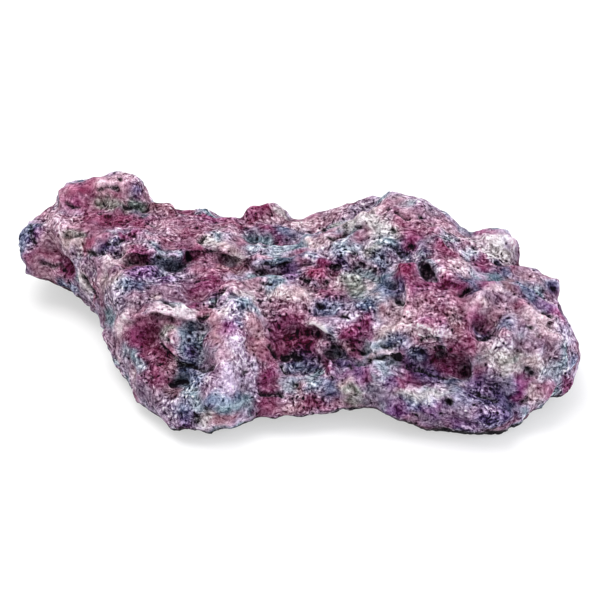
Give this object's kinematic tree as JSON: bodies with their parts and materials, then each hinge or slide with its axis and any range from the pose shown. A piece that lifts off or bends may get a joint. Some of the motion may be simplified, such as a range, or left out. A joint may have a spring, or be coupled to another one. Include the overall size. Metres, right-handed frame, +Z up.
{
  "type": "reef rock",
  "caption": "Dry reef rock in one piece: a low blocky mass with a narrow arm, ledges, hollows and pits, in mottled purple, mauve and teal.",
  "frame": {"origin": "the middle of the rock's outline on the surface it rests on", "axes": "+X along the rock's length to its broad right end, +Y to its back, +Z up"},
  "size_m": [0.3602, 0.2052, 0.084],
  "materials": {
    "reef_coat": "dry, matt and gritty, mottled maroon, mauve, lilac, pale pink and grey teal with dark pits"
  },
  "bodies": {
    "root": {"reef_rock": "reef_coat"}
  },
  "joints": []
}
